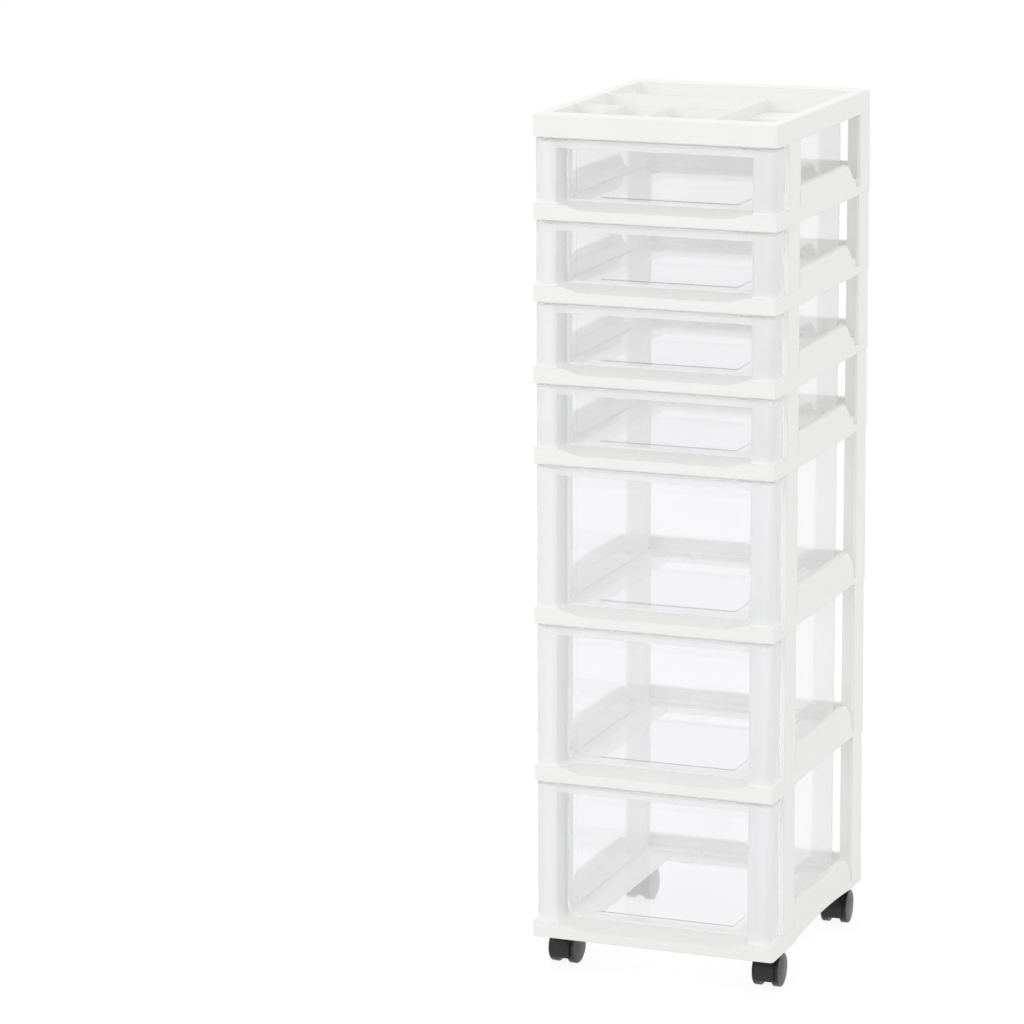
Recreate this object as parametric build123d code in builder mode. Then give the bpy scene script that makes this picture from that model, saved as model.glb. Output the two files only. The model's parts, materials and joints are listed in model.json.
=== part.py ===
from build123d import *
from math import cos, radians, sin
import os

# A rolling tower of clear drawers in white moulded frames, with a divided tray on top.
# Millimetres, +Z up, drawers open towards -Y. The origin is on the floor, under the
# middle of the tower. Tiers and drawers are numbered from the floor up.

os.makedirs("parts", exist_ok=True)

# ---- the tower ----
WIDTH = 306.0               # frames, across the side rails
DEPTH = 362.0               # frames, front rail to rear rail
SHALLOW_PITCH = 98.5        # height of a frame with a shallow drawer
DEEP_PITCH = 197.0          # height of a frame with a deep drawer
SHALLOW_TIERS = 4
DEEP_TIERS = 3
CASTER_RISE = 47.5          # floor to the base frame's underside
BASE_FLARE = 2.5            # the base's front, front corners and back stand this far proud

# ---- frames ----
WALL = 2.5                  # moulded wall
POST_WALL = 2.2
CORNER_RADIUS = 3.5
EDGE_CHAMFER = 0.8
RING_HEIGHT = 19.5          # front rail, and the ledges that a drawer slides on
FRONT_RAIL_DEPTH = 50.0
SIDE_LEDGE_WIDTH = 61.0
REAR_LEDGE_DEPTH = 46.0
LEDGE_LIP = 6.0             # downturned lip round the ring's opening
LEDGE_RIBS = 5              # under each side ledge
RIB_WALL = 1.8
RIB_HEIGHT = 9.0
RAIL_WIDTH = 8.5            # side rails between the posts
RAIL_ROUNDING = 4.0         # their outer top edges
SHALLOW_RAIL_HEIGHT = 43.0
DEEP_RAIL_HEIGHT = 50.0
BASE_RAIL_HEIGHT = 47.0
SHALLOW_SHOULDER_RUN = 36.0     # slanted rear end of a side rail
DEEP_SHOULDER_RUN = 12.0
SHALLOW_SHOULDER_RADIUS = 12.0
DEEP_SHOULDER_RADIUS = 36.0
SHOULDER_FOOT = 10.5        # height at which the slant ends
SHALLOW_RAIL_END_GAP = 10.0     # rail's end to the rear post
DEEP_RAIL_END_GAP = 1.5
NOTCH_DEPTH = 5.5           # step in the ring's side behind the rail's end
NOTCH_LEAD = 6.0            # the step starts this far inside the rail's end
DEEP_SIDE_RISE = 3.6        # a deep ring's lower side edges, above its underside
BASE_SIDE_RISE = 6.0        # the middle of the base ring's arched lower side edges
REAR_RAIL_HEIGHT = 35.5
REAR_RAIL_FLANGE = 8.0
FRONT_POST_SETBACK = 46.0   # front rail's face to the front posts
FRONT_POST_DEPTH = 41.0
REAR_POST_DEPTH = 40.0
REAR_POST_WIDTH = 22.0
REAR_POST_NOSE = 4.0        # flat front of a rear post, beside its slanted web
REAR_POST_SLANT = 18.0
POST_DRAFT = 1.0            # the posts' outer faces lean in this much by their tops
SPIGOT_LENGTH = 10.0        # plugs that a frame sets down into the posts below
SPIGOT_CLEARANCE = 0.2
SCOOP_DROP = 6.3            # finger scoop along the front rail's top edge
SCOOP_DEPTH = 26.0
SCOOP_WIDTH = 188.0
SCOOP_RUNOUT = 19.0
GUIDE_HEIGHT = 3.5          # slanted guides on the ledges that keep a drawer straight
GUIDE_RISE = 11.0
GUIDE_WALL = 2.0
GUIDE_CLEARANCE = 1.0

# ---- drawers ----
DRAWER_WALL = 2.0
DRAWER_SEAT = 0.3           # drawer's underside above the ledges
DRAWER_HEADROOM = 1.7       # drawer's top below the frame above
DRAWER_SETBACK = 0.6        # drawer front behind the front rail's face
FRONT_SIDE_INSET = 2.0      # drawer front's ends inside the frame's sides
FRONT_CORNER_RADIUS = 10.0
FRONT_EDGE_RADIUS = 1.2
COLUMN_WIDTH = 29.0         # the two columns that frame the window
COLUMN_DRAFT = 4.0          # the columns' inner faces close in this much, front to back
GRIP_DEPTH = 30.0           # window set back behind the columns, under the pull lip
LIP_DROP = 10.0             # downturned front of the pull lip
COVE_RADIUS = 8.0           # grip recess, where its back meets its top and sides
CORNER_DIP = 1.4            # the front's top edge steps down over the columns
CORNER_DIP_START = 108.0
CORNER_DIP_END = 140.0
TRAY_SIDE_GAP = 18.5        # tray wall to the side rail
TRAY_REAR_GAP = 31.0        # tray wall to the frame's back face
TRAY_RIM_WIDTH = 5.0
TRAY_RIM_DROP = 3.0         # tray rim below the top of the drawer front
TRAY_CORNER_RADIUS = 6.0
WINDOW_MARGIN = 10.0        # border of the window pane inside the grip recess
WINDOW_RADIUS = 6.0
WINDOW_STEP = 0.5
FLOOR_PANEL_WIDTH = 172.0
FLOOR_PANEL_MARGIN = 25.0
FLOOR_PANEL_STEP = 0.8
DRAWER_TRAVEL = 250.0
STOP_WIDTH = 16.0           # lugs under the tray that meet the front ledge
STOP_DEPTH = 4.0
STOP_DROP = 5.0
STOP_SPACING = 120.0
STOP_CLEARANCE = 0.5
BACK_STOP_HEIGHT = 6.0      # blocks on the rear ledge that a shut drawer meets
BACK_STOP_CLEARANCE = 0.3

# ---- top tray ----
TOP_HEIGHT = 27.0
TOP_CORNER_RADIUS = 4.0
TOP_EDGE_RADIUS = 1.2
SIDE_RIM = 15.5
FRONT_RIM = 27.0
REAR_RIM = 33.0
WELL_DEPTH = 21.5
WELL_FLOOR = 2.0
WELL_WALL = 2.0
WELL_RADIUS = 4.0
DIVIDER = 2.2
REAR_WELL_DEPTH = 108.0     # front to back, the full-width compartment
MIDDLE_WELL_DEPTH = 105.0
RIGHT_WELL_WIDTH = 71.0
SMALL_WELL_WIDTHS = (59.0, 56.0)
STEP_RISE = 7.0             # shallow end of the right-hand compartment
STEP_LENGTH = 72.0

# ---- casters ----
CASTER_SIDE_INSET = 21.0    # stem axis inside the frame's side
CASTER_END_INSET = 44.0     # stem axis inside the frame's front and back
CASTER_TRAIL = 13.0         # axle behind the stem
CASTER_TURNS = {"front_left": -3.0, "front_right": 1.0, "rear_left": -2.0, "rear_right": 3.0}
STEM_RADIUS = 3.5
STEM_FIT = 0.05             # radial clearance in the hood and in the frame's socket
STEM_IN_FRAME = 15.0
STEM_IN_HOOD = 16.0
STEM_END_CLEARANCE = 0.5
STEM_CHAMFER = 0.6
COLLAR_RADIUS = 6.5
COLLAR_HEIGHT = 2.9
COLLAR_GAP = 0.3
SOCKET_RADIUS = 8.0
WHEEL_RADIUS = 21.0
WHEEL_GAUGE = 24.0          # between the middles of a caster's two wheels
WHEEL_WIDTH = 9.0
WHEEL_DOME = 1.5            # crown of a wheel's outer face
WHEEL_CHAMFER = 0.8
WHEEL_DISH = 1.5            # recess in a wheel's inner face
WHEEL_RIM = 4.0
HUB_FLOOR = 2.0             # between the axle's end and the wheel's outer face
HUB_BOSS_RADIUS = 5.0
AXLE_RADIUS = 2.0
AXLE_FIT = 0.03
WHEEL_FIT = 0.06
AXLE_END_CLEARANCE = 0.4
AXLE_CHAMFER = 0.3
WEB_CLEARANCE = 0.5         # between the hood's web and each wheel
WEB_HUB_RADIUS = 6.0
FENDER_GAP = 0.9            # over the tread
FENDER_WALL = 1.4
FENDER_WIDTH = 24.0
FENDER_REAR_ANGLE = 52.0    # degrees round the axle, from straight back over the top
FENDER_FRONT_ANGLE = 208.0
HOOD_BOSS_RADIUS = 9.0
HOOD_BOSS_HEIGHT = 8.0
HOOD_CHAMFER = 0.8

# ---- worked out ----
SIDE = WIDTH / 2
FRONT = -DEPTH / 2
BACK = DEPTH / 2
SHALLOW_START = CASTER_RISE + DEEP_TIERS * DEEP_PITCH
TOP_BOTTOM = SHALLOW_START + SHALLOW_TIERS * SHALLOW_PITCH
TOP = TOP_BOTTOM + TOP_HEIGHT

OPENING_SIDE = SIDE - SIDE_LEDGE_WIDTH
OPENING_FRONT = FRONT + FRONT_RAIL_DEPTH
OPENING_BACK = BACK - REAR_LEDGE_DEPTH
FRONT_POST_START = FRONT + FRONT_POST_SETBACK
FRONT_POST_END = FRONT_POST_START + FRONT_POST_DEPTH
REAR_POST_START = BACK - REAR_POST_DEPTH
RAIL_INSIDE = SIDE - RAIL_WIDTH
PLATE = RING_HEIGHT - WALL
SHALLOW_SHOULDER = (SHALLOW_SHOULDER_RUN, SHALLOW_SHOULDER_RADIUS, SHALLOW_RAIL_END_GAP)
DEEP_SHOULDER = (DEEP_SHOULDER_RUN, DEEP_SHOULDER_RADIUS, DEEP_RAIL_END_GAP)

TRAY_SIDE = RAIL_INSIDE - TRAY_SIDE_GAP
TRAY_BACK = BACK - TRAY_REAR_GAP
DRAWER_FRONT = FRONT + DRAWER_SETBACK
DRAWER_SIDE = SIDE - FRONT_SIDE_INSET
COLUMN_INSIDE = DRAWER_SIDE - COLUMN_WIDTH
WINDOW_FACE = DRAWER_FRONT + GRIP_DEPTH
WINDOW_BACK = WINDOW_FACE + DRAWER_WALL
WINDOW_SIDE = COLUMN_INSIDE - COLUMN_DRAFT

WELL_SIDE = SIDE - SIDE_RIM
WELL_FRONT = FRONT + FRONT_RIM
WELL_BACK = BACK - REAR_RIM

WHEEL_INSIDE = (WHEEL_GAUGE - WHEEL_WIDTH) / 2
WHEEL_OUTSIDE = (WHEEL_GAUGE + WHEEL_WIDTH) / 2
WEB = WHEEL_INSIDE - WEB_CLEARANCE
FENDER_INSIDE = WHEEL_RADIUS + FENDER_GAP
FENDER_OUTSIDE = FENDER_INSIDE + FENDER_WALL
HOOD_TOP = CASTER_RISE - COLLAR_HEIGHT - COLLAR_GAP
AXLE_HALF = WHEEL_OUTSIDE - HUB_FLOOR - AXLE_END_CLEARANCE
AXLE_CENTRE = (CASTER_TRAIL, WHEEL_RADIUS)


# ---- shapes that several pieces share ----
def rectangle(x_low, x_high, y_low, y_high, mode=Mode.ADD):
    """A rectangle of the sketch in hand, by its edges."""
    with Locations(((x_low + x_high) / 2, (y_low + y_high) / 2)):
        Rectangle(x_high - x_low, y_high - y_low, mode=mode)


def block(x_low, x_high, y_low, y_high, z_low, z_high, mode=Mode.ADD):
    """A block of the part in hand, by its faces."""
    with BuildSketch(Plane.XY.offset(z_low)) as plan:
        rectangle(x_low, x_high, y_low, y_high)
    extrude(plan.sketch, amount=z_high - z_low, mode=mode)


def side_block(side, x_near, x_far, y_low, y_high, z_low, z_high, mode=Mode.ADD):
    """A block on one side of the middle plane, from x_near out to x_far."""
    x_low, x_high = sorted((side * x_near, side * x_far))
    block(x_low, x_high, y_low, y_high, z_low, z_high, mode=mode)


def across_x(x):
    """The plane across X at x, whose own x and y are the tower's Y and Z."""
    return Plane(origin=(x, 0, 0), x_dir=(0, 1, 0), z_dir=(1, 0, 0))


def prism_along_x(x_low, x_high, points, mode=Mode.ADD):
    """A prism of the part in hand, from the (y, z) corners of its section."""
    with BuildSketch(across_x(x_low)) as section:
        Polygon(*points, align=None)
    extrude(section.sketch, amount=x_high - x_low, mode=mode)


def prism_along_y(y_low, y_high, points, mode=Mode.ADD):
    """A prism of the part in hand, from the (x, z) corners of its section."""
    with BuildSketch(Plane.XZ.offset(-y_high)) as section:
        Polygon(*points, align=None)
    extrude(section.sketch, amount=y_high - y_low, mode=mode)


# ---- frames ----
def front_post(side, draft=0.0):
    """A front post's corners in plan."""
    inner, outer = side * RAIL_INSIDE, side * (SIDE - draft)
    return [(inner, FRONT_POST_START), (outer, FRONT_POST_START),
            (outer, FRONT_POST_END), (inner, FRONT_POST_END)]


def rear_post(side, draft=0.0):
    """A rear post's corners in plan: an outer leg, and a slanted web to its inner edge."""
    inner, outer = side * (SIDE - REAR_POST_WIDTH), side * (SIDE - draft)
    nose = side * (SIDE - REAR_POST_NOSE)
    return [(nose, REAR_POST_START), (outer, REAR_POST_START), (outer, BACK - draft),
            (inner, BACK - draft), (inner, REAR_POST_START + REAR_POST_SLANT)]


POSTS = [(post, side) for post in (front_post, rear_post) for side in (-1, 1)]


def add_posts(bottom, pitch):
    """Four hollow posts, from the ring's underside up to the frame above."""
    for post, side in POSTS:
        with BuildSketch(Plane.XY.offset(bottom)) as foot:
            Polygon(*post(side), align=None)
        with BuildSketch(Plane.XY.offset(bottom + pitch)) as head:
            Polygon(*post(side, POST_DRAFT), align=None)
        loft([foot.sketch, head.sketch], ruled=True)
    for post, side in POSTS:
        with BuildSketch(Plane.XY.offset(bottom + WALL)) as core:
            Polygon(*post(side, POST_DRAFT), align=None)
            offset(amount=-POST_WALL, kind=Kind.INTERSECTION, mode=Mode.REPLACE)
        extrude(core.sketch, amount=pitch, mode=Mode.SUBTRACT)


def add_spigots(bottom, root):
    """Plugs rooted in the piece above, reaching down into the posts below."""
    for post, side in POSTS:
        with BuildSketch(Plane.XY.offset(bottom - SPIGOT_LENGTH)) as plug:
            Polygon(*post(side, POST_DRAFT), align=None)
            offset(amount=-POST_WALL - SPIGOT_CLEARANCE, kind=Kind.INTERSECTION,
                   mode=Mode.REPLACE)
        extrude(plug.sketch, amount=SPIGOT_LENGTH + root)


def add_ring(bottom, flare):
    """The ring's outer block, with rounded corners. A flare widens its front and its back."""
    with BuildSketch(Plane.XY.offset(bottom)) as plan:
        Rectangle(WIDTH, DEPTH)
        fillet(plan.vertices(), CORNER_RADIUS)
        if flare:
            rectangle(-SIDE - flare, SIDE + flare, FRONT - flare, FRONT_POST_END)
            fillet(plan.vertices().group_by(Axis.Y)[0], CORNER_RADIUS + flare)
            between = SIDE - REAR_POST_WIDTH
            rectangle(-between, between, BACK - WALL, BACK + flare)
    extrude(plan.sketch, amount=RING_HEIGHT)


def cut_underside(bottom):
    """Hollow the ring from below, leaving its walls, its plate and the opening's lip."""
    inside = SIDE - WALL
    prism_along_x(-inside, inside, [
        (FRONT + WALL, bottom), (FRONT + WALL, bottom + PLATE - SCOOP_DROP),
        (FRONT + SCOOP_DEPTH, bottom + PLATE), (OPENING_FRONT - WALL, bottom + PLATE),
        (OPENING_FRONT - WALL, bottom)], mode=Mode.SUBTRACT)
    with BuildSketch(Plane.XY.offset(bottom)) as hollow:
        rectangle(-inside, inside, OPENING_FRONT - WALL, BACK - WALL)
        rectangle(-OPENING_SIDE - WALL, OPENING_SIDE + WALL, OPENING_FRONT - WALL,
                  OPENING_BACK + WALL, mode=Mode.SUBTRACT)
        for side in (-1, 1):
            x_low, x_high = sorted((side * (SIDE - NOTCH_DEPTH - WALL), side * SIDE))
            rectangle(x_low, x_high,
                      REAR_POST_START - SHALLOW_RAIL_END_GAP - SHALLOW_SHOULDER_RUN / 2,
                      REAR_POST_START + WALL, mode=Mode.SUBTRACT)
    extrude(hollow.sketch, amount=PLATE, mode=Mode.SUBTRACT)
    block(-OPENING_SIDE - WALL, OPENING_SIDE + WALL, OPENING_FRONT - WALL, OPENING_BACK + WALL,
          bottom, bottom + PLATE - LEDGE_LIP, mode=Mode.SUBTRACT)
    block(-OPENING_SIDE, OPENING_SIDE, OPENING_FRONT, OPENING_BACK,
          bottom, bottom + RING_HEIGHT, mode=Mode.SUBTRACT)


def cut_scoop(bottom, flare):
    """The finger scoop: a shallow wedge off the front rail's top, run out at both ends."""
    top = bottom + RING_HEIGHT
    half = SCOOP_WIDTH / 2
    face = FRONT - flare - 1
    slope = SCOOP_DROP / (SCOOP_DEPTH + flare)

    def wedge(x, steepness):
        with BuildSketch(across_x(x)) as section:
            Polygon((face, top - steepness * (FRONT + SCOOP_DEPTH - face)),
                    (FRONT + SCOOP_DEPTH, top), (FRONT + SCOOP_DEPTH, top + 1),
                    (face, top + 1), align=None)
        return section.sketch

    extrude(wedge(-half, slope), amount=SCOOP_WIDTH, mode=Mode.SUBTRACT)
    for side in (-1, 1):
        loft([wedge(side * half, slope), wedge(side * (half + SCOOP_RUNOUT), slope / 100)],
             ruled=True, mode=Mode.SUBTRACT)


def add_side_rails(bottom, height, shoulder):
    """Side rails: inverted channels that end in a rounded, slanted shoulder."""
    run, radius, gap = shoulder
    start = FRONT_POST_END - POST_WALL / 2
    end = REAR_POST_START - gap
    slope = (height - SHOULDER_FOOT) / run
    toe = end + SHOULDER_FOOT / slope

    def section(x, y_start, inset):
        """The rail's outline, or that outline drawn in by inset."""
        back = toe - inset * (1 + slope ** 2) ** 0.5 / slope
        crest = back - (height - inset) / slope
        with BuildSketch(across_x(x)) as outline:
            Polygon((y_start, bottom), (y_start, bottom + height - inset),
                    (crest, bottom + height - inset), (back, bottom), align=None)
            corner = outline.vertices().group_by(Axis.Y)[-1].sort_by(Axis.X)[-1]
            fillet(corner, radius - inset)
        return outline.sketch

    for side in (-1, 1):
        side_block(side, SIDE - NOTCH_DEPTH, SIDE + 1, end - NOTCH_LEAD, REAR_POST_START,
                   bottom + SHOULDER_FOOT, bottom + RING_HEIGHT, mode=Mode.SUBTRACT)
        x_low = min(side * RAIL_INSIDE, side * SIDE)
        with BuildPart() as rail:
            extrude(section(x_low, start, 0.0), amount=RAIL_WIDTH)
            outside = rail.faces().sort_by(Axis.X)[0 if side < 0 else -1]
            crown = outside.edges().filter_by(
                lambda edge: edge.center().Y > start + 1 and edge.center().Z > bottom + 1)
            fillet(crown, RAIL_ROUNDING)
            side_block(side, RAIL_INSIDE - 1, SIDE + 1, end, toe + 1,
                       bottom - 1, bottom + SHOULDER_FOOT + 1, mode=Mode.SUBTRACT)
        add(rail.part)
        x_low = min(side * (RAIL_INSIDE + WALL), side * (SIDE - WALL))
        extrude(section(x_low, FRONT_POST_END + WALL, WALL), amount=RAIL_WIDTH - 2 * WALL,
                mode=Mode.SUBTRACT)


def raise_sides(bottom, base):
    """Lift the lower edges of the ring's sides between the posts, in an arch on the base."""
    low, high = RAIL_INSIDE - 1, SIDE + 1
    for side in (-1, 1):
        x_low, x_high = sorted((side * low, side * high))
        with BuildSketch(across_x(x_low)) as gap:
            if base:
                with BuildLine():
                    ThreePointArc((FRONT_POST_END, bottom),
                                  ((FRONT_POST_END + REAR_POST_START) / 2,
                                   bottom + BASE_SIDE_RISE), (REAR_POST_START, bottom))
                    Line((REAR_POST_START, bottom), (FRONT_POST_END, bottom))
                make_face()
            else:
                rectangle(FRONT_POST_END, REAR_POST_START, bottom, bottom + DEEP_SIDE_RISE)
        extrude(gap.sketch, amount=x_high - x_low, mode=Mode.SUBTRACT)


def add_guides(bottom):
    """Slanted guides between the ledges and the side rails, open underneath."""
    near = TRAY_SIDE + GUIDE_CLEARANCE
    far = RAIL_INSIDE + WALL / 2
    foot = bottom + RING_HEIGHT
    slope = GUIDE_RISE / (far - near)
    start = FRONT_POST_END
    end = REAR_POST_START - SHALLOW_RAIL_END_GAP - SHALLOW_SHOULDER_RUN
    inner = near + GUIDE_WALL
    roof = foot + GUIDE_HEIGHT - GUIDE_WALL
    for side in (-1, 1):
        prism_along_y(start, end, [
            (side * near, foot - WALL / 2), (side * near, foot + GUIDE_HEIGHT),
            (side * far, foot + GUIDE_HEIGHT + GUIDE_RISE), (side * far, foot - WALL / 2)])
        prism_along_y(start + WALL, end - WALL, [
            (side * inner, bottom + PLATE), (side * inner, roof),
            (side * RAIL_INSIDE, roof + slope * (RAIL_INSIDE - inner)),
            (side * RAIL_INSIDE, bottom + PLATE)], mode=Mode.SUBTRACT)


def add_ribs(bottom):
    """Ribs under the side ledges."""
    spacing = (OPENING_BACK - OPENING_FRONT) / LEDGE_RIBS
    for rib in range(LEDGE_RIBS):
        y = OPENING_FRONT + spacing * (rib + 0.5)
        for side in (-1, 1):
            side_block(side, OPENING_SIDE + WALL / 2, RAIL_INSIDE + WALL / 2,
                       y - RIB_WALL / 2, y + RIB_WALL / 2,
                       bottom + PLATE - RIB_HEIGHT, bottom + PLATE + WALL / 2)


def add_rear_rail(bottom):
    """The low rail between the rear posts, with its top turned inwards."""
    side = SIDE - REAR_POST_WIDTH + POST_WALL / 2
    top = bottom + REAR_RAIL_HEIGHT
    block(-side, side, BACK - WALL, BACK, bottom, top)
    block(-side, side, BACK - REAR_RAIL_FLANGE, BACK, top - WALL, top)


def add_back_stops(bottom):
    """Blocks on the rear ledge, behind the tray of a shut drawer."""
    front = TRAY_BACK + BACK_STOP_CLEARANCE
    for side in (-1, 1):
        side_block(side, (STOP_SPACING - STOP_WIDTH) / 2, (STOP_SPACING + STOP_WIDTH) / 2,
                   front, front + STOP_DEPTH, bottom + RING_HEIGHT - WALL / 2,
                   bottom + RING_HEIGHT + BACK_STOP_HEIGHT)


def caster_places():
    """Stem axes, by corner."""
    x, front, back = SIDE - CASTER_SIDE_INSET, FRONT + CASTER_END_INSET, BACK - CASTER_END_INSET
    return {"front_left": (-x, front), "front_right": (x, front),
            "rear_left": (-x, back), "rear_right": (x, back)}


def add_caster_sockets(bottom):
    """Bosses under the base frame's ledges, bored for the caster stems."""
    for radius, height, mode in (
            (SOCKET_RADIUS, PLATE + WALL / 2, Mode.ADD),
            (STEM_RADIUS + STEM_FIT, STEM_IN_FRAME + STEM_END_CLEARANCE, Mode.SUBTRACT)):
        with BuildSketch(Plane.XY.offset(bottom)) as bosses:
            with Locations(*caster_places().values()):
                Circle(radius)
        extrude(bosses.sketch, amount=height, mode=mode)


def make_frame(label, bottom, pitch, base=False):
    """One tier's frame: ring, posts, side rails and rear rail, moulded in one piece."""
    flare = BASE_FLARE if base else 0.0
    deep = pitch == DEEP_PITCH
    height = BASE_RAIL_HEIGHT if base else DEEP_RAIL_HEIGHT if deep else SHALLOW_RAIL_HEIGHT
    with BuildPart() as frame:
        add_ring(bottom, flare)
        ends = frame.faces().filter_by(Axis.Z)
        chamfer(ends.edges(), EDGE_CHAMFER)
        cut_underside(bottom)
        cut_scoop(bottom, flare)
        add_side_rails(bottom, height, DEEP_SHOULDER if deep else SHALLOW_SHOULDER)
        if deep:
            raise_sides(bottom, base)
        add_guides(bottom)
        add_ribs(bottom)
        add_posts(bottom, pitch)
        add_rear_rail(bottom)
        add_back_stops(bottom)
        if base:
            add_caster_sockets(bottom)
        else:
            add_spigots(bottom, WALL)
    frame.part.label = label
    return frame


# ---- drawers ----
def make_grip_recess(floor, top):
    """The hollow in front of a drawer's window, below and behind the pull lip."""
    roof = top - CORNER_DIP - DRAWER_WALL
    with BuildPart() as recess:
        with BuildSketch(Plane.XY.offset(floor - 1)):
            Polygon((-COLUMN_INSIDE, DRAWER_FRONT), (COLUMN_INSIDE, DRAWER_FRONT),
                    (WINDOW_SIDE, WINDOW_FACE), (-WINDOW_SIDE, WINDOW_FACE), align=None)
        extrude(amount=roof - floor + 1)
        back_edges = recess.faces().sort_by(Axis.Y)[-1].edges()
        fillet(back_edges.sort_by(Axis.Z)[1:], COVE_RADIUS)
        block(-DRAWER_SIDE, DRAWER_SIDE, DRAWER_FRONT - 1, DRAWER_FRONT + DRAWER_WALL,
              top - LIP_DROP, top, mode=Mode.SUBTRACT)
        block(-COLUMN_INSIDE, COLUMN_INSIDE, DRAWER_FRONT - 1, DRAWER_FRONT,
              floor - 1, top - LIP_DROP)
    return recess.part


def cut_columns(floor, top):
    """Hollow the drawer front's columns from behind."""
    front = DRAWER_FRONT + DRAWER_WALL
    for side in (-1, 1):
        with BuildSketch(Plane.XY.offset(floor + DRAWER_WALL)) as hollow:
            Polygon((side * (COLUMN_INSIDE + DRAWER_WALL), front),
                    (side * (DRAWER_SIDE - DRAWER_WALL), front),
                    (side * (DRAWER_SIDE - DRAWER_WALL), WINDOW_BACK),
                    (side * TRAY_SIDE, WINDOW_BACK), (side * TRAY_SIDE, WINDOW_FACE),
                    (side * (WINDOW_SIDE + DRAWER_WALL), WINDOW_FACE), align=None)
            outer = hollow.vertices().group_by(Axis.Y)[0].sort_by(Axis.X)
            fillet(outer[-1] if side > 0 else outer[0], FRONT_CORNER_RADIUS - DRAWER_WALL)
        extrude(hollow.sketch, amount=top - CORNER_DIP - floor - 2 * DRAWER_WALL,
                mode=Mode.SUBTRACT)


def make_drawer(label, bottom, pitch):
    """A clear drawer: tray, window, frosted columns and pull lip, moulded in one piece."""
    floor = bottom + RING_HEIGHT + DRAWER_SEAT
    top = bottom + pitch - DRAWER_HEADROOM
    rim = top - TRAY_RIM_DROP
    recess = make_grip_recess(floor, top)
    with BuildPart() as drawer:
        with BuildSketch(Plane.XY.offset(floor)) as front:
            rectangle(-DRAWER_SIDE, DRAWER_SIDE, DRAWER_FRONT, WINDOW_BACK)
            fillet(front.vertices().group_by(Axis.Y)[0], FRONT_CORNER_RADIUS)
        extrude(amount=top - floor)
        fillet(drawer.faces().sort_by(Axis.Z)[-1].edges(), FRONT_EDGE_RADIUS)
        cut_columns(floor, top)
        with BuildSketch(Plane.XY.offset(floor)) as tray:
            rectangle(-TRAY_SIDE, TRAY_SIDE, WINDOW_FACE, TRAY_BACK)
            fillet(tray.vertices().group_by(Axis.Y)[-1], TRAY_CORNER_RADIUS)
        extrude(amount=rim - floor)
        with BuildSketch(Plane.XY.offset(rim - DRAWER_WALL)) as flange:
            rectangle(-TRAY_SIDE - TRAY_RIM_WIDTH, TRAY_SIDE + TRAY_RIM_WIDTH,
                      WINDOW_BACK, TRAY_BACK + TRAY_RIM_WIDTH)
            fillet(flange.vertices().group_by(Axis.Y)[-1], TRAY_CORNER_RADIUS + TRAY_RIM_WIDTH)
        extrude(amount=DRAWER_WALL)
        with BuildSketch(Plane.XY.offset(floor + DRAWER_WALL)) as inside:
            rectangle(DRAWER_WALL - TRAY_SIDE, TRAY_SIDE - DRAWER_WALL,
                      WINDOW_BACK, TRAY_BACK - DRAWER_WALL)
            fillet(inside.vertices(), TRAY_CORNER_RADIUS - DRAWER_WALL)
        extrude(amount=top - floor, mode=Mode.SUBTRACT)
        add(recess, mode=Mode.SUBTRACT)
        for side in (-1, 1):
            side_block(side, CORNER_DIP_START, CORNER_DIP_END, DRAWER_FRONT, WINDOW_BACK,
                       top - CORNER_DIP, top, mode=Mode.SUBTRACT)
        pane_top = top - CORNER_DIP - DRAWER_WALL - COVE_RADIUS - DRAWER_WALL
        with BuildSketch(Plane.XZ.offset(-WINDOW_FACE - WINDOW_STEP)) as pane:
            rectangle(WINDOW_MARGIN - WINDOW_SIDE, WINDOW_SIDE - WINDOW_MARGIN,
                      floor + WINDOW_MARGIN, pane_top)
            fillet(pane.vertices(), WINDOW_RADIUS)
        extrude(amount=WINDOW_STEP, mode=Mode.SUBTRACT)
        block(-FLOOR_PANEL_WIDTH / 2, FLOOR_PANEL_WIDTH / 2, WINDOW_FACE + FLOOR_PANEL_MARGIN,
              TRAY_BACK - FLOOR_PANEL_MARGIN, floor + DRAWER_WALL / 2,
              floor + DRAWER_WALL + FLOOR_PANEL_STEP)
        stop = OPENING_FRONT + DRAWER_TRAVEL + STOP_CLEARANCE
        for x in (-STOP_SPACING / 2, STOP_SPACING / 2):
            block(x - STOP_WIDTH / 2, x + STOP_WIDTH / 2, stop, stop + STOP_DEPTH,
                  floor - STOP_DROP, floor + DRAWER_WALL / 2)
    drawer.part.label = label
    return drawer


# ---- top tray ----
def wells():
    """Each compartment's edges in plan (x_low, x_high, y_low, y_high)."""
    rear_front = WELL_BACK - REAR_WELL_DEPTH
    middle_back = rear_front - DIVIDER
    middle_front = middle_back - MIDDLE_WELL_DEPTH
    small_back = middle_front - DIVIDER
    right_start = WELL_SIDE - RIGHT_WELL_WIDTH
    left_end = right_start - DIVIDER
    first_end = SMALL_WELL_WIDTHS[0] - WELL_SIDE
    second_end = first_end + DIVIDER + SMALL_WELL_WIDTHS[1]
    return [(-WELL_SIDE, WELL_SIDE, rear_front, WELL_BACK),
            (-WELL_SIDE, left_end, middle_front, middle_back),
            (-WELL_SIDE, first_end, WELL_FRONT, small_back),
            (first_end + DIVIDER, second_end, WELL_FRONT, small_back),
            (second_end + DIVIDER, left_end, WELL_FRONT, small_back),
            (right_start, WELL_SIDE, WELL_FRONT, middle_back)]


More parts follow.
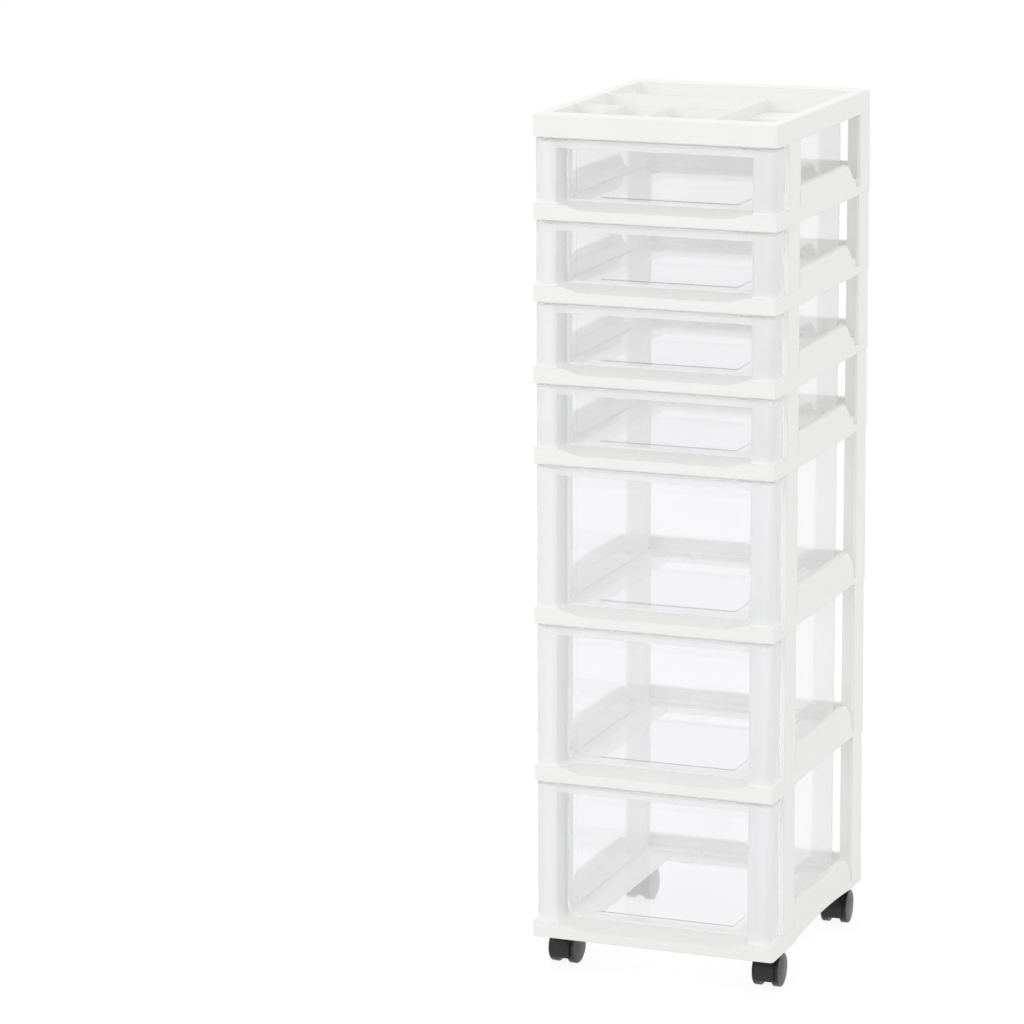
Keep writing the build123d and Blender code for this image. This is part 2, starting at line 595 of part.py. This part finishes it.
def make_top_tray():
    """The divided tray that closes the tower, with plugs for the posts below."""
    with BuildPart() as tray:
        with BuildSketch(Plane.XY.offset(TOP_BOTTOM)) as plan:
            Rectangle(WIDTH, DEPTH)
            fillet(plan.vertices(), TOP_CORNER_RADIUS)
        extrude(amount=TOP_HEIGHT)
        fillet(tray.faces().sort_by(Axis.Z)[-1].edges(), TOP_EDGE_RADIUS)
        chamfer(tray.faces().sort_by(Axis.Z)[0].edges(), EDGE_CHAMFER)
        block(WALL - SIDE, SIDE - WALL, FRONT + WALL, BACK - WALL, TOP_BOTTOM, TOP - WALL,
              mode=Mode.SUBTRACT)
        block(-WELL_SIDE - WELL_WALL, WELL_SIDE + WELL_WALL, WELL_FRONT - WELL_WALL,
              WELL_BACK + WELL_WALL, TOP - WELL_DEPTH - WELL_FLOOR, TOP - WALL / 2)
        for x_low, x_high, y_low, y_high in wells():
            with BuildSketch(Plane.XY.offset(TOP - WELL_DEPTH)) as well:
                rectangle(x_low, x_high, y_low, y_high)
                fillet(well.vertices(), WELL_RADIUS)
            extrude(amount=WELL_DEPTH, mode=Mode.SUBTRACT)
        x_low, x_high, y_low, y_high = wells()[-1]
        with BuildSketch(Plane.XY.offset(TOP - WELL_DEPTH - WELL_FLOOR / 2)) as step:
            rectangle(x_low - WELL_WALL / 2, x_high + WELL_WALL / 2,
                      y_high - STEP_LENGTH, y_high + WELL_WALL / 2)
        extrude(amount=STEP_RISE + WELL_FLOOR / 2)
        for post, side in POSTS:
            with BuildSketch(Plane.XY.offset(TOP_BOTTOM)) as pad:
                Polygon(*post(side, POST_DRAFT), align=None)
            extrude(amount=TOP_HEIGHT - WALL / 2)
        add_spigots(TOP_BOTTOM, WALL)
    tray.part.label = "top_tray"
    return tray


# ---- casters ----
def caster_plane(corner):
    """A caster's own frame: on the floor under its stem, trailing along its y axis."""
    x, y = caster_places()[corner]
    turn = radians(CASTER_TURNS[corner])
    return Plane(origin=(x, y, 0), x_dir=(cos(turn), sin(turn), 0), z_dir=(0, 0, 1))


def level(place, height):
    """The caster's horizontal plane at a height above the floor."""
    return Plane(origin=place.from_local_coords((0, 0, height)), x_dir=place.x_dir,
                 z_dir=(0, 0, 1))


def across(place, x):
    """The caster's upright plane across its axle at x, with trail and height as axes."""
    return Plane(origin=place.from_local_coords((x, 0, 0)), x_dir=place.y_dir,
                 z_dir=place.x_dir)


def make_stem(place, label):
    """The steel stem, with the collar that the frame rests on."""
    foot = HOOD_TOP - STEM_IN_HOOD
    with BuildPart() as stem:
        with BuildSketch(level(place, foot)):
            Circle(STEM_RADIUS)
        extrude(amount=CASTER_RISE + STEM_IN_FRAME - foot)
        chamfer(stem.edges(), STEM_CHAMFER)
        with BuildSketch(level(place, HOOD_TOP + COLLAR_GAP)):
            Circle(COLLAR_RADIUS)
        extrude(amount=COLLAR_HEIGHT)
    stem.part.label = label
    return stem


def make_hood(place, label):
    """The hood: a web between the wheels, a fender over them and a boss for the stem."""
    def rim_point(angle):
        return (CASTER_TRAIL + FENDER_OUTSIDE * cos(radians(angle)),
                WHEEL_RADIUS + FENDER_OUTSIDE * sin(radians(angle)))

    with BuildPart() as hood:
        with BuildSketch(level(place, HOOD_TOP - HOOD_BOSS_HEIGHT)):
            Circle(HOOD_BOSS_RADIUS)
        extrude(amount=HOOD_BOSS_HEIGHT)
        chamfer(hood.faces().sort_by(Axis.Z)[-1].edges(), HOOD_CHAMFER)
        with BuildSketch(across(place, -FENDER_WIDTH / 2)):
            with BuildLine():
                Line(AXLE_CENTRE, rim_point(FENDER_REAR_ANGLE))
                CenterArc(AXLE_CENTRE, FENDER_OUTSIDE, FENDER_REAR_ANGLE,
                          FENDER_FRONT_ANGLE - FENDER_REAR_ANGLE)
                Line(rim_point(FENDER_FRONT_ANGLE), AXLE_CENTRE)
            make_face()
        extrude(amount=FENDER_WIDTH)
        for start in (-FENDER_WIDTH, WEB):
            with BuildSketch(across(place, start)):
                with Locations(AXLE_CENTRE):
                    Circle(FENDER_INSIDE)
            extrude(amount=FENDER_WIDTH - WEB, mode=Mode.SUBTRACT)
        with BuildSketch(across(place, -WEB)):
            with Locations(AXLE_CENTRE):
                Circle(WEB_HUB_RADIUS)
        extrude(amount=2 * WEB)
        with BuildSketch(across(place, -WEB)):
            with Locations(AXLE_CENTRE):
                Circle(AXLE_RADIUS + AXLE_FIT)
        extrude(amount=2 * WEB, mode=Mode.SUBTRACT)
        with BuildSketch(level(place, HOOD_TOP - STEM_IN_HOOD - STEM_END_CLEARANCE)):
            Circle(STEM_RADIUS + STEM_FIT)
        extrude(amount=STEM_IN_HOOD + STEM_END_CLEARANCE, mode=Mode.SUBTRACT)
    hood.part.label = label
    return hood


def make_axle(place, label):
    """The steel pin that both wheels turn on."""
    with BuildPart() as axle:
        with BuildSketch(across(place, -AXLE_HALF)):
            with Locations(AXLE_CENTRE):
                Circle(AXLE_RADIUS)
        extrude(amount=2 * AXLE_HALF)
        chamfer(axle.edges(), AXLE_CHAMFER)
    axle.part.label = label
    return axle


def make_wheel(place, side, label):
    """A wheel with a domed outer face, a dished inner face and a blind bore."""
    centre = place.from_local_coords((0, CASTER_TRAIL, WHEEL_RADIUS))
    axle_plane = Plane(origin=centre, x_dir=place.x_dir, z_dir=-place.y_dir)
    shoulder = WHEEL_RADIUS - WHEEL_CHAMFER
    crown_radius = (shoulder ** 2 + WHEEL_DOME ** 2) / (2 * WHEEL_DOME)
    half_way = (crown_radius ** 2 - shoulder ** 2 / 4) ** 0.5 - crown_radius + WHEEL_DOME
    bore = AXLE_RADIUS + WHEEL_FIT
    bore_end = WHEEL_OUTSIDE - HUB_FLOOR
    outline = [(WHEEL_OUTSIDE + WHEEL_DOME, 0), (bore_end, 0), (bore_end, bore),
               (WHEEL_INSIDE, bore), (WHEEL_INSIDE, HUB_BOSS_RADIUS),
               (WHEEL_INSIDE + WHEEL_DISH, HUB_BOSS_RADIUS),
               (WHEEL_INSIDE + WHEEL_DISH, WHEEL_RADIUS - WHEEL_RIM),
               (WHEEL_INSIDE, WHEEL_RADIUS - WHEEL_RIM), (WHEEL_INSIDE, shoulder),
               (WHEEL_INSIDE + WHEEL_CHAMFER, WHEEL_RADIUS),
               (WHEEL_OUTSIDE - WHEEL_CHAMFER, WHEEL_RADIUS), (WHEEL_OUTSIDE, shoulder)]
    with BuildPart() as wheel:
        with BuildSketch(axle_plane):
            with BuildLine():
                Polyline(*[(side * along, out) for along, out in outline])
                ThreePointArc((side * WHEEL_OUTSIDE, shoulder),
                              (side * (WHEEL_OUTSIDE + half_way), shoulder / 2),
                              (side * (WHEEL_OUTSIDE + WHEEL_DOME), 0))
            make_face()
        revolve(axis=Axis(centre, place.x_dir))
    wheel.part.label = label
    return wheel


def write(piece):
    """Write a finished piece under its label."""
    export_step(piece.part, f"parts/{piece.part.label}.step")


write(make_top_tray())
for number in range(DEEP_TIERS):
    tier_bottom = CASTER_RISE + number * DEEP_PITCH
    write(make_frame(f"deep_frame_{number + 1}", tier_bottom, DEEP_PITCH, base=number == 0))
    write(make_drawer(f"deep_drawer_{number + 1}", tier_bottom, DEEP_PITCH))
for number in range(SHALLOW_TIERS):
    tier_bottom = SHALLOW_START + number * SHALLOW_PITCH
    write(make_frame(f"shallow_frame_{number + 1}", tier_bottom, SHALLOW_PITCH))
    write(make_drawer(f"shallow_drawer_{number + 1}", tier_bottom, SHALLOW_PITCH))
for name in CASTER_TURNS:
    corner_plane = caster_plane(name)
    write(make_stem(corner_plane, f"caster_stem_{name}"))
    write(make_hood(corner_plane, f"caster_hood_{name}"))
    write(make_axle(corner_plane, f"caster_axle_{name}"))
    write(make_wheel(corner_plane, -1, f"caster_wheel_{name}_1"))
    write(make_wheel(corner_plane, 1, f"caster_wheel_{name}_2"))
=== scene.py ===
"""Looks of a rolling tower of clear drawers: finishes, stage, light and camera.

Metres, +Z up, drawers open towards -Y, casters on the floor at z = 0.
"""

import json
import math

import bmesh
import bpy
from mathutils import Matrix, Vector


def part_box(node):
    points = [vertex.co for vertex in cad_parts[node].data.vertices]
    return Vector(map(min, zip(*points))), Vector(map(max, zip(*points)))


MM = 0.001

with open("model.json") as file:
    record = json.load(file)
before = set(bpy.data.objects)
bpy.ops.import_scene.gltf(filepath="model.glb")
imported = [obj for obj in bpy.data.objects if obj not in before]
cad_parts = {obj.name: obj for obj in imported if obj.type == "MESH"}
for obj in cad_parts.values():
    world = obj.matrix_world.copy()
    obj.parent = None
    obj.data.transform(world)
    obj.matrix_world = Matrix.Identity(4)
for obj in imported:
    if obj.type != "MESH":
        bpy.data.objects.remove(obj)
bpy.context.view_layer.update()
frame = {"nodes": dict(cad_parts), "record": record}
nodes = frame["nodes"]

GRIP_DEPTH = 30 * MM  # drawer front to its window
WINDOW_BAND = 29 * MM  # hazy top of a window, from the drawer's top edge
WINDOW_SILL = 7.4 * MM  # milky foot of a window, from the drawer's lowest point to its floor
WINDOW_WALL = 2.1 * MM  # just over the thickness of a window
BAND_HAZE = 0.14  # of the columns' full frosting
TOWER_MIDDLE = Vector((0, 0, 0.6))


def linear(hex_colour):
    """An sRGB hex colour as linear RGBA."""
    channels = [int(hex_colour[i : i + 2], 16) / 255 for i in (1, 3, 5)]
    return [c / 12.92 if c <= 0.04045 else ((c + 0.055) / 1.055) ** 2.4 for c in channels] + [1.0]


def add_node(tree, kind, settings=None, inputs=None):
    """Adds a node with its settings, and its inputs as constants or as sockets to link from."""
    node = tree.nodes.new(kind)
    for name, value in (settings or {}).items():
        setattr(node, name, value)
    for name, value in (inputs or {}).items():
        if isinstance(value, bpy.types.NodeSocket):
            tree.links.new(value, node.inputs[name])
        else:
            node.inputs[name].default_value = value
    return node


def new_material(name):
    """A material with an empty node tree and its output."""
    material = bpy.data.materials.new(name)
    material.use_nodes = True
    material.node_tree.nodes.clear()
    return material, material.node_tree, add_node(material.node_tree, "ShaderNodeOutputMaterial")


def object_noise(tree, grain, detail=2.0):
    """Noise whose blotches are about grain metres across, on Object coordinates."""
    place = add_node(tree, "ShaderNodeTexCoord")
    return add_node(
        tree,
        "ShaderNodeTexNoise",
        inputs={"Vector": place.outputs["Object"], "Scale": 1 / grain, "Detail": detail},
    )


def ranged(tree, value, low, high, start=0.3, end=0.7):
    """A value spread from start..end to low..high."""
    return add_node(
        tree,
        "ShaderNodeMapRange",
        inputs={"Value": value, "From Min": start, "From Max": end, "To Min": low, "To Max": high},
    ).outputs["Result"]


def math_node(tree, operation, first, second):
    """The value of a two-input math node."""
    node = add_node(tree, "ShaderNodeMath", {"operation": operation}, {0: first, 1: second})
    return node.outputs["Value"]


def broken_edges(tree, radius):
    """The surface normal with its sharp edges rounded over by radius."""
    return add_node(tree, "ShaderNodeBevel", {"samples": 4}, {"Radius": radius}).outputs["Normal"]


def moulded_polypropylene():
    """White injection-moulded polypropylene: satin, faintly mottled, a fine spark-eroded grain."""
    material, tree, output = new_material("white moulded polypropylene")
    cloud = object_noise(tree, 55 * MM, 3.0)
    tint = add_node(
        tree,
        "ShaderNodeMix",
        {"data_type": "RGBA"},
        {"Factor": cloud.outputs["Fac"], "A": linear("#F4F4F3"), "B": linear("#F9F9F8")},
    )
    # the mould's grain is about 0.15 mm; drawn at 0.8 mm so that it shows
    grain = object_noise(tree, 0.8 * MM)
    bump = add_node(
        tree,
        "ShaderNodeBump",
        inputs={
            "Strength": 0.08,
            "Distance": 0.1 * MM,
            "Height": grain.outputs["Fac"],
            "Normal": broken_edges(tree, 0.7 * MM),
        },
    )
    shader = add_node(
        tree,
        "ShaderNodeBsdfPrincipled",
        inputs={
            "Base Color": tint.outputs["Result"],
            "Roughness": ranged(tree, cloud.outputs["Fac"], 0.38, 0.5),
            "IOR": 1.49,
            "Normal": bump.outputs["Normal"],
        },
    )
    tree.links.new(shader.outputs["BSDF"], output.inputs["Surface"])
    return material


def drawer_polystyrene(name, low, high, pitch):
    """Clear polystyrene, polished at the window's pane and the tray, frosted round the pane.

    low and high are the box of the lowest drawer of its kind, and pitch is the tiers' spacing.
    """
    material, tree, output = new_material(name)
    place = add_node(tree, "ShaderNodeTexCoord")
    axes = add_node(tree, "ShaderNodeSeparateXYZ", inputs={"Vector": place.outputs["Object"]})
    window_y = low[1] + GRIP_DEPTH
    front = ranged(tree, axes.outputs["Y"], 1.0, 0.0, window_y - 2.0 * MM, window_y - 0.8 * MM)
    # the band and the sill of the window's wall, in every tier at the same heights
    window_back = window_y + WINDOW_WALL
    in_wall = ranged(tree, axes.outputs["Y"], 1.0, 0.0, window_back, window_back + 0.3 * MM)
    above_lowest = math_node(tree, "SUBTRACT", axes.outputs["Z"], low[2])
    rise = math_node(tree, "FLOORED_MODULO", above_lowest, pitch)
    band_start = high[2] - low[2] - WINDOW_BAND
    band = ranged(tree, rise, 0.0, BAND_HAZE, band_start - 0.6 * MM, band_start)
    sill = ranged(tree, rise, 1.0, 0.0, WINDOW_SILL, WINDOW_SILL + 0.4 * MM)
    border = math_node(tree, "MULTIPLY", in_wall, math_node(tree, "MAXIMUM", band, sill))
    frosted = math_node(tree, "MAXIMUM", front, border)
    # the sill hides the view along the tray's floor, whose clear edge would look black
    milky = math_node(tree, "MULTIPLY", in_wall, sill)
    clearness = math_node(
        tree,
        "MULTIPLY",
        ranged(tree, frosted, 0.88, 0.66, 0.0, 1.0),
        ranged(tree, milky, 1.0, 0.1, 0.0, 1.0),
    )
    # slow flow ripples in the clear walls, and the columns' etched grain, drawn at 0.9 mm to show
    ripple = object_noise(tree, 28 * MM)
    frost = object_noise(tree, 0.9 * MM)
    height = add_node(
        tree,
        "ShaderNodeMix",
        inputs={"Factor": frosted, "A": ripple.outputs["Fac"], "B": frost.outputs["Fac"]},
    )
    bump = add_node(
        tree,
        "ShaderNodeBump",
        inputs={"Strength": 0.1, "Distance": 0.4 * MM, "Height": height.outputs["Result"]},
    )
    # an IOR under polystyrene's 1.59, since nested walls at 1.59 mirror too much
    shader = add_node(
        tree,
        "ShaderNodeBsdfPrincipled",
        inputs={
            "Base Color": linear("#FDFDFE"),
            "Roughness": ranged(tree, frosted, 0.03, 0.42, 0.0, 1.0),
            "IOR": 1.4,
            "Transmission Weight": clearness,
            "Normal": bump.outputs["Normal"],
        },
    )
    # lamps and the room's light reach what lies inside and behind the clear walls
    path = add_node(tree, "ShaderNodeLightPath")
    passing = math_node(
        tree, "MAXIMUM", path.outputs["Is Shadow Ray"], path.outputs["Is Diffuse Ray"]
    )
    veil = add_node(
        tree, "ShaderNodeBsdfTransparent", inputs={"Color": linear("#FFFFFF")}
    ).outputs["BSDF"]
    mix = add_node(
        tree, "ShaderNodeMixShader", inputs={0: passing, 1: shader.outputs["BSDF"], 2: veil}
    )
    tree.links.new(mix.outputs["Shader"], output.inputs["Surface"])
    return material


def caster_nylon():
    """Black moulded nylon: low sheen, slightly rubbed grey, fine grain."""
    material, tree, output = new_material("black moulded nylon")
    cloud = object_noise(tree, 9 * MM, 3.0)
    tint = add_node(
        tree,
        "ShaderNodeMix",
        {"data_type": "RGBA"},
        {"Factor": cloud.outputs["Fac"], "A": linear("#070708"), "B": linear("#101012")},
    )
    grain = object_noise(tree, 0.6 * MM)
    bump = add_node(
        tree,
        "ShaderNodeBump",
        inputs={
            "Strength": 0.15,
            "Distance": 0.1 * MM,
            "Height": grain.outputs["Fac"],
            "Normal": broken_edges(tree, 0.5 * MM),
        },
    )
    shader = add_node(
        tree,
        "ShaderNodeBsdfPrincipled",
        inputs={
            "Base Color": tint.outputs["Result"],
            "Roughness": ranged(tree, cloud.outputs["Fac"], 0.28, 0.42),
            "IOR": 1.5,
            "Normal": bump.outputs["Normal"],
        },
    )
    tree.links.new(shader.outputs["BSDF"], output.inputs["Surface"])
    return material


def zinc_steel():
    """Zinc-plated steel: pale grey metal with a soft, slightly streaky gloss."""
    material, tree, output = new_material("zinc-plated steel")
    cloud = object_noise(tree, 3 * MM, 3.0)
    shader = add_node(
        tree,
        "ShaderNodeBsdfPrincipled",
        inputs={
            "Base Color": linear("#B9BCBF"),
            "Metallic": 1.0,
            "Roughness": ranged(tree, cloud.outputs["Fac"], 0.25, 0.4),
            "Normal": broken_edges(tree, 0.3 * MM),
        },
    )
    tree.links.new(shader.outputs["BSDF"], output.inputs["Surface"])
    return material


def dress_nodes():
    """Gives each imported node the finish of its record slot."""
    finishes = {
        "white_polypropylene": moulded_polypropylene(),
        "black_nylon": caster_nylon(),
        "zinc_steel": zinc_steel(),
    }
    for kind in ("deep", "shallow"):
        low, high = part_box(f"{kind}_drawer_1")
        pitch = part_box(f"{kind}_drawer_2")[0][2] - low[2]
        finishes[kind] = drawer_polystyrene(f"polystyrene of a {kind} drawer", low, high, pitch)
    for part in frame["record"]["subparts"]:
        mesh = nodes[part["node"]].data
        finish = part["material_slot"]
        if finish == "clear_polystyrene":
            finish = part["node"].split("_")[0]
        mesh.materials.clear()
        mesh.materials.append(finishes[finish])


def camera_ray(tree):
    """1 for rays that see the background: the camera's own, mirrored and refracted ones."""
    path = add_node(tree, "ShaderNodeLightPath")
    total = path.outputs["Is Camera Ray"]
    for name in ("Is Glossy Ray", "Is Transmission Ray"):
        total = math_node(tree, "MAXIMUM", total, path.outputs[name])
    return total


def white_floor():
    """A plain white floor that keeps a faint shadow under the tower."""
    mesh = bpy.data.meshes.new("floor")
    shape = bmesh.new()
    bmesh.ops.create_grid(shape, x_segments=1, y_segments=1, size=6.0)
    shape.to_mesh(mesh)
    shape.free()
    floor = bpy.data.objects.new("floor", mesh)
    bpy.context.collection.objects.link(floor)
    material, tree, output = new_material("white floor paper")
    paper = add_node(
        tree, "ShaderNodeBsdfDiffuse", inputs={"Color": linear("#F4F4F4")}
    ).outputs["BSDF"]
    glow = add_node(
        tree, "ShaderNodeEmission", inputs={"Color": linear("#FFFFFF"), "Strength": 1.06}
    ).outputs["Emission"]
    share = math_node(tree, "MULTIPLY", camera_ray(tree), 0.85)
    mix = add_node(tree, "ShaderNodeMixShader", inputs={0: share, 1: paper, 2: glow})
    tree.links.new(mix.outputs["Shader"], output.inputs["Surface"])
    mesh.materials.append(material)


def white_room(ambient):
    """A white background, and an even light of strength ambient from all round."""
    world = bpy.data.worlds.new("white room")
    bpy.context.scene.world = world
    world.use_nodes = True
    tree = world.node_tree
    tree.nodes.clear()
    output = add_node(tree, "ShaderNodeOutputWorld")
    strength = ranged(tree, camera_ray(tree), ambient, 1.0, 0.0, 1.0)
    sky = add_node(
        tree, "ShaderNodeBackground", inputs={"Color": linear("#FFFFFF"), "Strength": strength}
    )
    tree.links.new(sky.outputs["Background"], output.inputs["Surface"])


def soft_lamp(name, place, size, power):
    """A square soft box at place, turned to the middle of the tower."""
    lamp = bpy.data.lights.new(name, "AREA")
    lamp.shape = "SQUARE"
    lamp.size = size
    lamp.energy = power
    holder = bpy.data.objects.new(name, lamp)
    bpy.context.collection.objects.link(holder)
    holder.location = place
    holder.rotation_euler = (TOWER_MIDDLE - Vector(place)).to_track_quat("-Z", "Y").to_euler()


def photographs_camera():
    """A camera fitted to the tower's corners in the photograph: no shift, no blur."""
    focal_px, frame_px = 4569.5, 1024
    yaw, pitch, roll = (math.radians(a) for a in (21.527, -12.464, -0.248))
    forward = Vector(
        (-math.sin(yaw) * math.cos(pitch), math.cos(yaw) * math.cos(pitch), math.sin(pitch))
    )
    level_right = Vector((math.cos(yaw), math.sin(yaw), 0))
    level_up = level_right.cross(forward)
    right = level_right * math.cos(roll) + level_up * math.sin(roll)
    up = level_up * math.cos(roll) - level_right * math.sin(roll)
    turn = Matrix((right, up, -forward)).transposed().to_4x4()
    data = bpy.data.cameras.new("camera")
    data.sensor_width = 36
    data.lens = 36 * focal_px / frame_px
    data.clip_end = 50
    camera = bpy.data.objects.new("camera", data)
    bpy.context.collection.objects.link(camera)
    camera.matrix_world = Matrix.Translation((1.79004, -5.17495, 1.76372)) @ turn
    bpy.context.scene.camera = camera


dress_nodes()
white_floor()
white_room(0.88)
soft_lamp("key", (-2.4, -3.2, 3.0), 2.2, 21)
soft_lamp("fill", (3.4, -2.0, 1.8), 2.4, 1)
soft_lamp("top", (0, 0.3, 3.6), 2.0, 6)
photographs_camera()
bpy.context.scene.view_settings.view_transform = "Standard"
# a line of sight crosses dozens of clear and frosted faces of the drawers
light_paths = bpy.context.scene.cycles
light_paths.max_bounces = 32
light_paths.diffuse_bounces = 12
light_paths.transmission_bounces = 32
light_paths.transparent_max_bounces = 48
